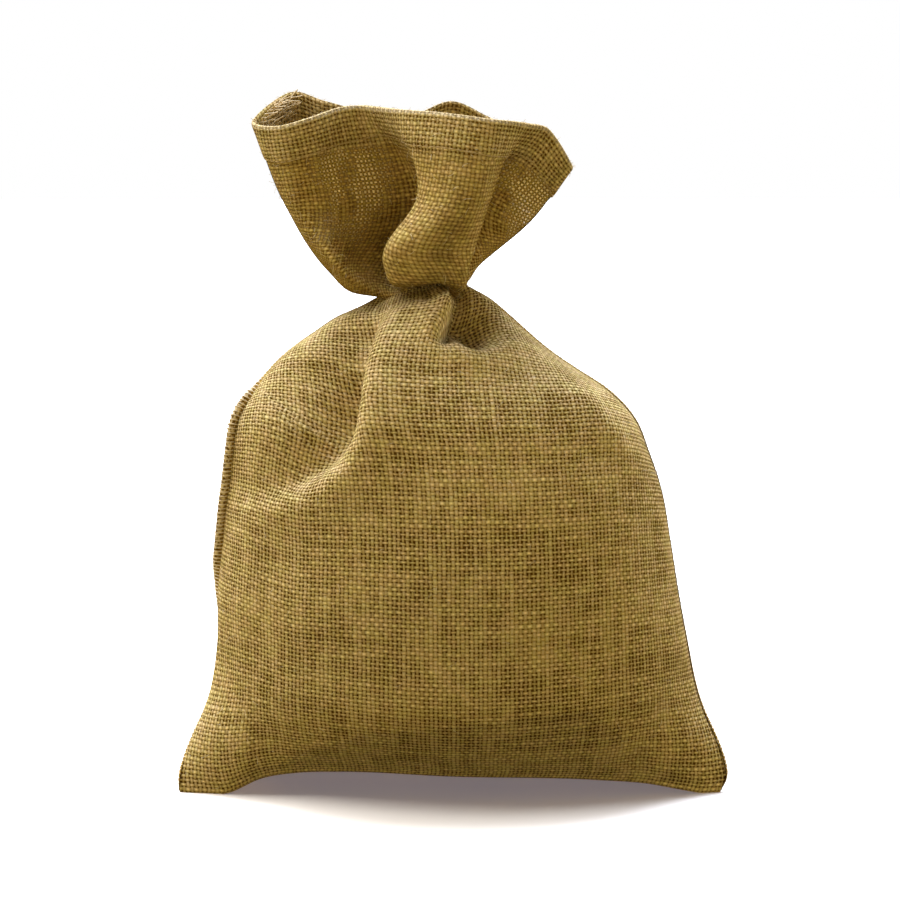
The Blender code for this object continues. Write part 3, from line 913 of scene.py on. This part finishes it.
# The side seams: the edges of front and back laid together, overlocked and left outside as a
# narrow flap, with the sewing thread whipped over its edge.
# One half of the flap in section, each place as (out, to the side), in millimetres. The other
# half mirrors it.
FLAP = ((-1.2, -0.5), (0.3, -0.45), (0.8, -0.95), (1.7, -1.35), (2.7, -1.4), (3.5, -1.05), (4.0, -0.4))
FLAP_RIPPLE = 0.18  # each stitch draws the flap in by this share of its thickness
# how far each is laid over to the back, at each height in millimetres
LEFT_LAID = (
    (0, 1), (84, 1), (100, 0.8), (118, 0.4), (138, 0.1), (156, 0), (192, 0), (204, 0.6), (214, 1), (400, 1),
)
RIGHT_LAID = ((0, 1), (206, 1), (226, 0.5), (246, 0.5), (256, 1), (400, 1))
FLAP_SMALLEST = 0.3
FLAP_ON_SHOULDER = 0.45  # of its full size, where it lies down on the shoulders
SHOULDER = (192.0, 212.0)
FLAP_ENDS = 16.0  # and the height up to which it tapers to the bottom corner
STITCH_EVERY = 2.1 * MM
SEWING_THREAD = 0.32 * MM
STITCH_SIZES = (0.98, 1.10)
EDGE_PALE = (0.66, 0.50, 0.24)
EDGE_DARK = (0.13, 0.065, 0.008)
EDGE_FUZZ = 1.25  # blotches to a thread
EDGE_PALE_FROM = 0.42
EDGE_PALE_GROWS = 6.25
EDGE_BUMP_DEPTH = 0.4 * MM
GROOVE_COLOUR = (0.29, 0.17, 0.03)
GROOVE = (1.5, 2.1)  # threads from the middle of the edge
WHIPPED = ((-0.4, 0.0, 0.6), (5.7, 0.5, 3.2), (5.7, 0.8, -3.2), (-0.4, 1.3, -0.6))


def thread_tree():
    """A node group that lays one bent thread at each point, turned to face the point's own way."""
    tree = bpy.data.node_groups.new("laid_thread", "GeometryNodeTree")
    taken = {
        "Points": "Geometry", "Radius": "Float", "Pieces": "Int", "Sides": "Int", "Material": "Material",
    }
    taken.update(dict.fromkeys(("Start", "Start Handle", "End Handle", "End"), "Vector"))
    for name, kind in taken.items():
        tree.interface.new_socket(name, in_out="INPUT", socket_type="NodeSocket" + kind)
    tree.interface.new_socket("Threads", in_out="OUTPUT", socket_type="NodeSocketGeometry")
    given = tree.nodes.new("NodeGroupInput").outputs

    def node(kind, **inputs):
        made = tree.nodes.new(kind)
        for name, value in inputs.items():
            socket = made.inputs[name.replace("_", " ")]
            if isinstance(value, bpy.types.NodeSocket):
                tree.links.new(value, socket)
            else:
                socket.default_value = value
        return made

    def attribute(name, kind):
        made = tree.nodes.new("GeometryNodeInputNamedAttribute")
        made.data_type = kind
        made.inputs["Name"].default_value = name
        return next(out for out in made.outputs if out.enabled)

    bend = node(
        "GeometryNodeCurvePrimitiveBezierSegment",
        Start=given["Start"],
        Start_Handle=given["Start Handle"],
        End_Handle=given["End Handle"],
        End=given["End"],
        Resolution=given["Pieces"],
    )
    section = node("GeometryNodeCurvePrimitiveCircle", Resolution=given["Sides"], Radius=given["Radius"])
    thread = node(
        "GeometryNodeCurveToMesh",
        Curve=bend.outputs[0],
        Profile_Curve=section.outputs[0],
        Fill_Caps=True,
    )
    faces = node(
        "FunctionNodeAxesToRotation",
        Primary_Axis=attribute("out", "FLOAT_VECTOR"),
        Secondary_Axis=attribute("along", "FLOAT_VECTOR"),
    )
    faces.primary_axis = "X"
    faces.secondary_axis = "Y"
    laid = node(
        "GeometryNodeInstanceOnPoints",
        Points=given["Points"],
        Instance=thread.outputs[0],
        Rotation=faces.outputs[0],
        Scale=attribute("size", "FLOAT"),
    )
    real = node("GeometryNodeRealizeInstances", Geometry=laid.outputs[0])
    painted = node("GeometryNodeSetMaterial", Geometry=real.outputs[0], Material=given["Material"])
    tree.links.new(painted.outputs[0], tree.nodes.new("NodeGroupOutput").inputs[0])
    return tree


def lay_threads(name, places, out, along, size, shape, radius, material, pieces=8, sides=4):
    """Lays a thread of this shape, in metres, at every place, and makes them one plain mesh."""
    mesh = bpy.data.meshes.new(name)
    mesh.from_pydata((places - SACK_MIDDLE).tolist(), [], [])
    for key, vectors in (("out", out), ("along", along)):
        mesh.attributes.new(key, "FLOAT_VECTOR", "POINT").data.foreach_set("vector", vectors.ravel())
    mesh.attributes.new("size", "FLOAT", "POINT").data.foreach_set("value", size)
    piece = bpy.data.objects.new(name, mesh)
    bpy.context.scene.collection.objects.link(piece)
    laid = piece.modifiers.new("laid", "NODES")
    laid.node_group = thread_layer
    values = dict(zip(("Start", "Start Handle", "End Handle", "End"), shape))
    values.update({"Radius": radius, "Pieces": pieces, "Sides": sides, "Material": material})
    for socket in thread_layer.interface.items_tree:
        if socket.in_out == "INPUT" and socket.name in values:
            laid[socket.identifier] = values[socket.name]
    graph = bpy.context.evaluated_depsgraph_get()
    piece.data = bpy.data.meshes.new_from_object(piece.evaluated_get(graph), depsgraph=graph)
    piece.modifiers.clear()
    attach(piece, "root")
    return piece


def jute_thread(name, colour):
    material = bpy.data.materials.new(name)
    material.use_nodes = True
    shader = material.node_tree.nodes["Principled BSDF"]
    shader.inputs["Base Color"].default_value = (*colour, 1)
    shader.inputs["Roughness"].default_value = 0.8
    shader.inputs["Specular IOR Level"].default_value = 0.1
    return material


def along_path(path, step):
    """Even steps along a path: where each lies, counted in rows of the path."""
    run = np.concatenate([[0], np.linalg.norm(np.diff(path, axis=0), axis=1).cumsum()])
    count = int(run[-1] / step)
    return np.interp(np.linspace(0, run[-1], count + 1), run, np.arange(len(path)))


def at_rows(values, rows):
    return np.stack([np.interp(rows, np.arange(len(values)), v) for v in values.T], axis=1)


def whipped_cloth(name):
    """The rounded edge under the whipping: fuzzy and pale outside, brown down in its grooves."""
    material, shader, across, up, tools = cloth_paint(name)
    put, m, noise, chance, blend, shade, tint_or_light_tone, step, bumps = tools
    groove = step(m("ABSOLUTE", across), *GROOVE)
    fuzz = noise(m("MULTIPLY", across, EDGE_FUZZ), m("MULTIPLY", up, EDGE_FUZZ), 3.0)
    pale = m("MULTIPLY", m("SUBTRACT", fuzz, EDGE_PALE_FROM), EDGE_PALE_GROWS)
    put(shader.inputs["Base Color"], blend(groove, blend(pale, EDGE_DARK, EDGE_PALE), GROOVE_COLOUR))
    shader.inputs["Roughness"].default_value = 0.85
    bumps(fuzz, EDGE_BUMP_DEPTH)
    return material


thread_layer = thread_tree()
sewn_edge = whipped_cloth("hessian_sewn_edge")
sewing = jute_thread("sewing_thread", (0.80, 0.64, 0.37))
hand = np.random.default_rng(5)
wall = np.concatenate([filled, ruff[1:]])
wall_faces = outward(wall)
edge_places = []
for side, seam_column, stands, lies_back, laid in (
    ("left", 0, (-1.0, -0.35, 0.0), (-0.1, 1.0, 0.0), LEFT_LAID),
    ("right", SIDE_COLUMNS, (0.65, 0.75, 0.0), (0.1, 1.0, 0.0), RIGHT_LAID),
):
    rows = along_path(wall[:, seam_column], STITCH_EVERY / 4)
    path = at_rows(wall[:, seam_column], rows)
    runs = unit(np.gradient(path, axis=0))
    laid_back = curve_through(*np.transpose(laid), path[:, 2] / MM)[:, None]
    out = (1 - laid_back) * stands + laid_back * lies_back
    out = unit(out - (out * runs).sum(axis=1, keepdims=True) * runs)
    faces = np.cross(runs, out)
    near_neck = np.abs(rows - (len(filled) - 1)) / len(filled)
    full = FLAP_SMALLEST + (1 - FLAP_SMALLEST) * smooth(near_neck / 0.12)
    full *= smooth(0.35 + path[:, 2] / MM / FLAP_ENDS)
    climbed = smooth((path[:, 2] / MM - SHOULDER[0]) / (SHOULDER[1] - SHOULDER[0]))
    full *= 1 - (1 - FLAP_ON_SHOULDER) * climbed
    ripple = 1 - FLAP_RIPPLE * (0.5 + 0.5 * np.cos(np.arange(len(rows)) * np.pi / 2))
    section = np.concatenate([FLAP, np.multiply(FLAP, (1, -1))[::-1]]) * MM
    flap = path[:, None] + full[:, None, None] * (
        out[:, None] * section[:, :1] + faces[:, None] * section[:, 1:] * ripple[:, None, None]
    )
    flap_run = np.concatenate([[0], np.linalg.norm(np.diff(path, axis=0), axis=1).cumsum()])
    section_run = np.concatenate([[0], np.linalg.norm(np.diff(section, axis=0), axis=1).cumsum()])
    section_run -= section_run[-1] / 2
    flap_threads = np.stack(np.meshgrid(section_run, flap_run), axis=2) / THREAD_PITCH
    piece = cloth_piece(side + "_seam", flap, flap_threads, sewn_edge)
    edge_places.append((path + out * full[:, None] * 3.2 * MM, out))
    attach(piece, "root")
    shape = np.array(WHIPPED) * MM
    sewn = slice(2, None, 4)
    size = full[sewn] * hand.uniform(*STITCH_SIZES, len(full[sewn]))
    lay_threads(
        side + "_seam_stitches",
        path[sewn], out[sewn], runs[sewn], size, shape, SEWING_THREAD, sewing,
    )


# The stitching of the hem, one row of plain stitches in its groove.
HEM_STITCH_EVERY = 3.6 * MM
HEM_STITCH = ((0.0, -1.5, 0.0), (0.7, -0.8, 0.0), (0.7, 0.8, 0.0), (0.0, 1.5, 0.0))

hem_sewing = jute_thread("hem_sewing_thread", (0.42, 0.28, 0.10))
for name, (lower, groove, upper) in hem_rows.items():
    rows = along_path(groove, HEM_STITCH_EVERY)
    path = at_rows(groove, rows)
    runs = unit(at_rows(np.gradient(groove, axis=0), rows))
    faces = unit(np.cross(runs, at_rows(upper - lower, rows)))
    shape = np.array(HEM_STITCH) * MM
    size = np.ones(len(path))
    lay_threads(name + "_stitches", path, faces, runs, size, shape, SEWING_THREAD, hem_sewing)


# The ends of the side seam inside the left of the mouth, where the cut edges of the cloth have
# frayed into loose strands. They lie along the far wall, next to the seam.
FRAYED_STRANDS = 70
FRAYED_ROWS = (-16, -1)  # rows of the ruff, counted down from its rim
FRAYED_COLUMNS = (-27, -3)  # and columns, counted from the left seam
FRAYED_SIZES = (3.0 * MM, 8.0 * MM)
FRAYED_SHAPE = ((0.0, 0.0, 0.0), (0.3, 0.0, 0.1), (0.7, 0.1, 0.1), (1.0, 0.1, 0.0))
FRAYED_THICK = 0.045  # share of its length

strays = np.random.default_rng(11)
picked_row = strays.integers(*FRAYED_ROWS, FRAYED_STRANDS)
picked_column = strays.integers(*FRAYED_COLUMNS, FRAYED_STRANDS)
inwards = -wall_faces[picked_row, picked_column]
along = unit(wall[picked_row, picked_column - 1] - wall[picked_row, picked_column])
wild = strays.normal(0.0, 0.25, (FRAYED_STRANDS, 3))
way = unit(along + wild + inwards * strays.uniform(0.1, 0.5, (FRAYED_STRANDS, 1)))
lay_threads(
    "frayed_ends",
    wall[picked_row, picked_column] + inwards * strays.uniform(2.0, 4.5, (FRAYED_STRANDS, 1)) * MM,
    way,
    unit(np.cross(way, inwards)),
    strays.uniform(*FRAYED_SIZES, FRAYED_STRANDS),
    np.array(FRAYED_SHAPE),
    FRAYED_THICK,
    jute_thread("frayed_yarn", (0.50, 0.35, 0.14)),
)


# Loose fibres of the jute, which stand up all over the cloth and thickest along its sewn edges
# and its rim.
FIBRES = 1900
EDGE_FIBRES = 700  # along each seam
RIM_FIBRES = 900
FIBRE_SIZES = (1.2 * MM, 4.5 * MM)
EDGE_FIBRE_SIZES = (0.8 * MM, 2.2 * MM)
FIBRE_SHAPE = ((0.0, 0.0, 0.0), (0.35, 0.0, 0.0), (0.7, 0.12, 0.0), (1.0, 0.4, 0.1))
FIBRE_THICK = 0.018  # share of its length
EDGE_FIBRE_THICK = 0.035
FIBRE_SEED = 5

chances = np.random.default_rng(FIBRE_SEED)


def grow_fibres(name, places, facing, sizes, thick):
    """Bent fibres at these places, swept over the cloth in every direction."""
    count = len(places)
    swept = unit(np.cross(facing, chances.normal(size=(count, 3))))
    lean = chances.uniform(0.15, 1.2, (count, 1))
    way = unit(swept + facing * lean)
    size = chances.uniform(*sizes, count)
    bends = unit(np.cross(swept, facing))
    shape = np.array(FIBRE_SHAPE)
    lay_threads(name, places, way, bends, size, shape, thick, fibre_thread, pieces=4, sides=3)


fibre_thread = jute_thread("fibre", (0.62, 0.48, 0.24))
picked_row = chances.integers(2, len(wall), FIBRES)
picked_column = chances.integers(0, wall.shape[1], FIBRES)
picked = (picked_row, picked_column)
grow_fibres("fibres", wall[picked], wall_faces[picked], FIBRE_SIZES, FIBRE_THICK)
for side, (places, out) in zip(("left", "right"), edge_places):
    picked = chances.integers(0, len(places), EDGE_FIBRES)
    grow_fibres(side + "_edge_fibres", places[picked], out[picked], EDGE_FIBRE_SIZES, EDGE_FIBRE_THICK)
picked = chances.integers(0, wall.shape[1], RIM_FIBRES)
rises = np.tile((0.0, 0.0, 1.0), (RIM_FIBRES, 1))
grow_fibres("rim_fibres", wall[-1, picked], rises, EDGE_FIBRE_SIZES, EDGE_FIBRE_THICK)
